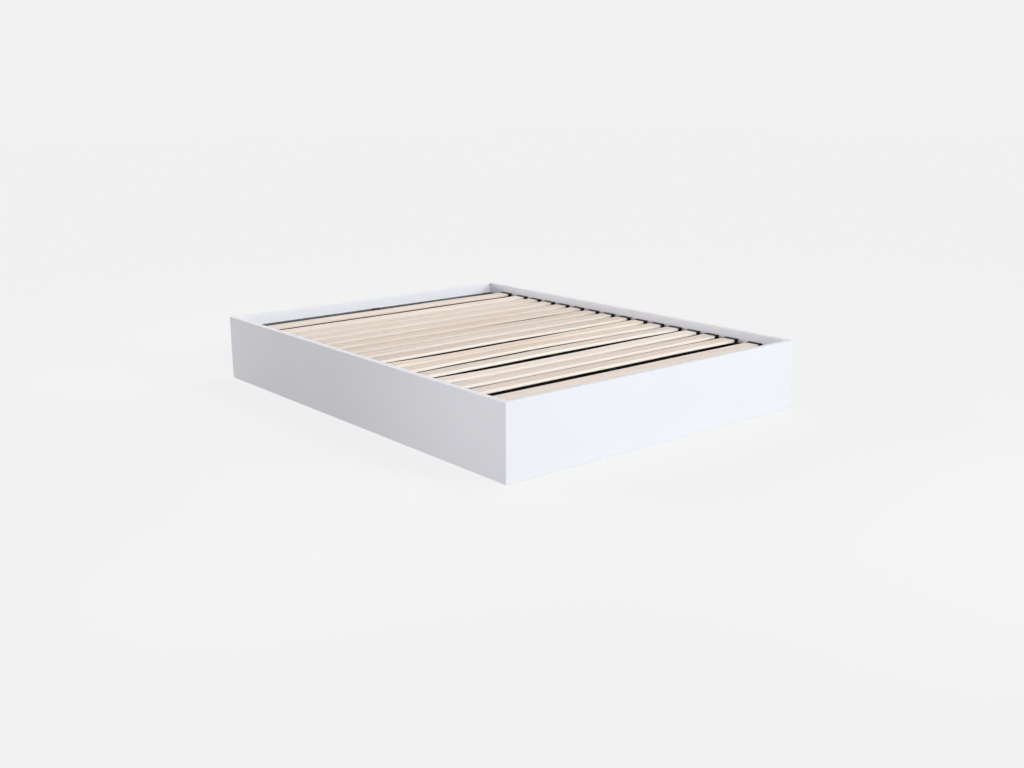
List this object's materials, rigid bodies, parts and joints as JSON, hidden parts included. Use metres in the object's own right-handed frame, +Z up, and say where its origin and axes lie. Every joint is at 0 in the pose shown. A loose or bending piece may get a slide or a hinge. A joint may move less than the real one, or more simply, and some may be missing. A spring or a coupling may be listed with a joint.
{
  "type": "platform bed base",
  "caption": "Low open-topped bed base of white boards standing on the floor, with pale flat slats in black end holders on a steel rail frame.",
  "frame": {"origin": "on the floor, below the middle of the base", "axes": "+Z up, +Y along the length towards the head end, +X to the right seen from the foot end"},
  "size_m": [1.6, 2.1, 0.3],
  "materials": {
    "white_board": "satin white lacquer",
    "pale_wood": "planed, unvarnished",
    "black_plastic": "moulded, fine texture",
    "black_steel": "powder coat",
    "black_cloth": "non-woven"
  },
  "bodies": {
    "bed_base": {"head_panel": "white_board", "foot_panel": "white_board", "left_side_panel": "white_board", "right_side_panel": "white_board", "head_rail": "black_steel", "foot_rail": "black_steel", "left_side_rail": "black_steel", "right_side_rail": "black_steel", "centre_beam": "black_steel", "dust_cover": "black_cloth", "slat_01": "pale_wood", "slat_02": "pale_wood", "slat_03": "pale_wood", "slat_04": "pale_wood", "slat_05": "pale_wood", "slat_06": "pale_wood", "slat_07": "pale_wood", "slat_08": "pale_wood", "slat_09": "pale_wood", "slat_10": "pale_wood", "slat_11": "pale_wood", "slat_12": "pale_wood", "slat_13": "pale_wood", "slat_14": "pale_wood", "slat_15": "pale_wood", "slat_16": "pale_wood", "slat_holder_left_01": "black_plastic", "slat_holder_left_02": "black_plastic", "slat_holder_left_03": "black_plastic", "slat_holder_left_04": "black_plastic", "slat_holder_left_05": "black_plastic", "slat_holder_left_06": "black_plastic", "slat_holder_left_07": "black_plastic", "slat_holder_left_08": "black_plastic", "slat_holder_left_09": "black_plastic", "slat_holder_left_10": "black_plastic", "slat_holder_left_11": "black_plastic", "slat_holder_left_12": "black_plastic", "slat_holder_left_13": "black_plastic", "slat_holder_left_14": "black_plastic", "slat_holder_left_15": "black_plastic", "slat_holder_left_16": "black_plastic", "slat_holder_right_01": "black_plastic", "slat_holder_right_02": "black_plastic", "slat_holder_right_03": "black_plastic", "slat_holder_right_04": "black_plastic", "slat_holder_right_05": "black_plastic", "slat_holder_right_06": "black_plastic", "slat_holder_right_07": "black_plastic", "slat_holder_right_08": "black_plastic", "slat_holder_right_09": "black_plastic", "slat_holder_right_10": "black_plastic", "slat_holder_right_11": "black_plastic", "slat_holder_right_12": "black_plastic", "slat_holder_right_13": "black_plastic", "slat_holder_right_14": "black_plastic", "slat_holder_right_15": "black_plastic", "slat_holder_right_16": "black_plastic"},
    "centre_leg_head": {"centre_leg_head": "black_plastic"},
    "centre_leg_foot": {"centre_leg_foot": "black_plastic"}
  },
  "joints": [
    {"name": "centre_leg_head_screw", "type": "slide", "parent": "bed_base", "child": "centre_leg_head", "axis": [0, 0, -1], "range_m": [-0.01, 0.012]},
    {"name": "centre_leg_foot_screw", "type": "slide", "parent": "bed_base", "child": "centre_leg_foot", "axis": [0, 0, -1], "range_m": [-0.01, 0.012]}
  ]
}
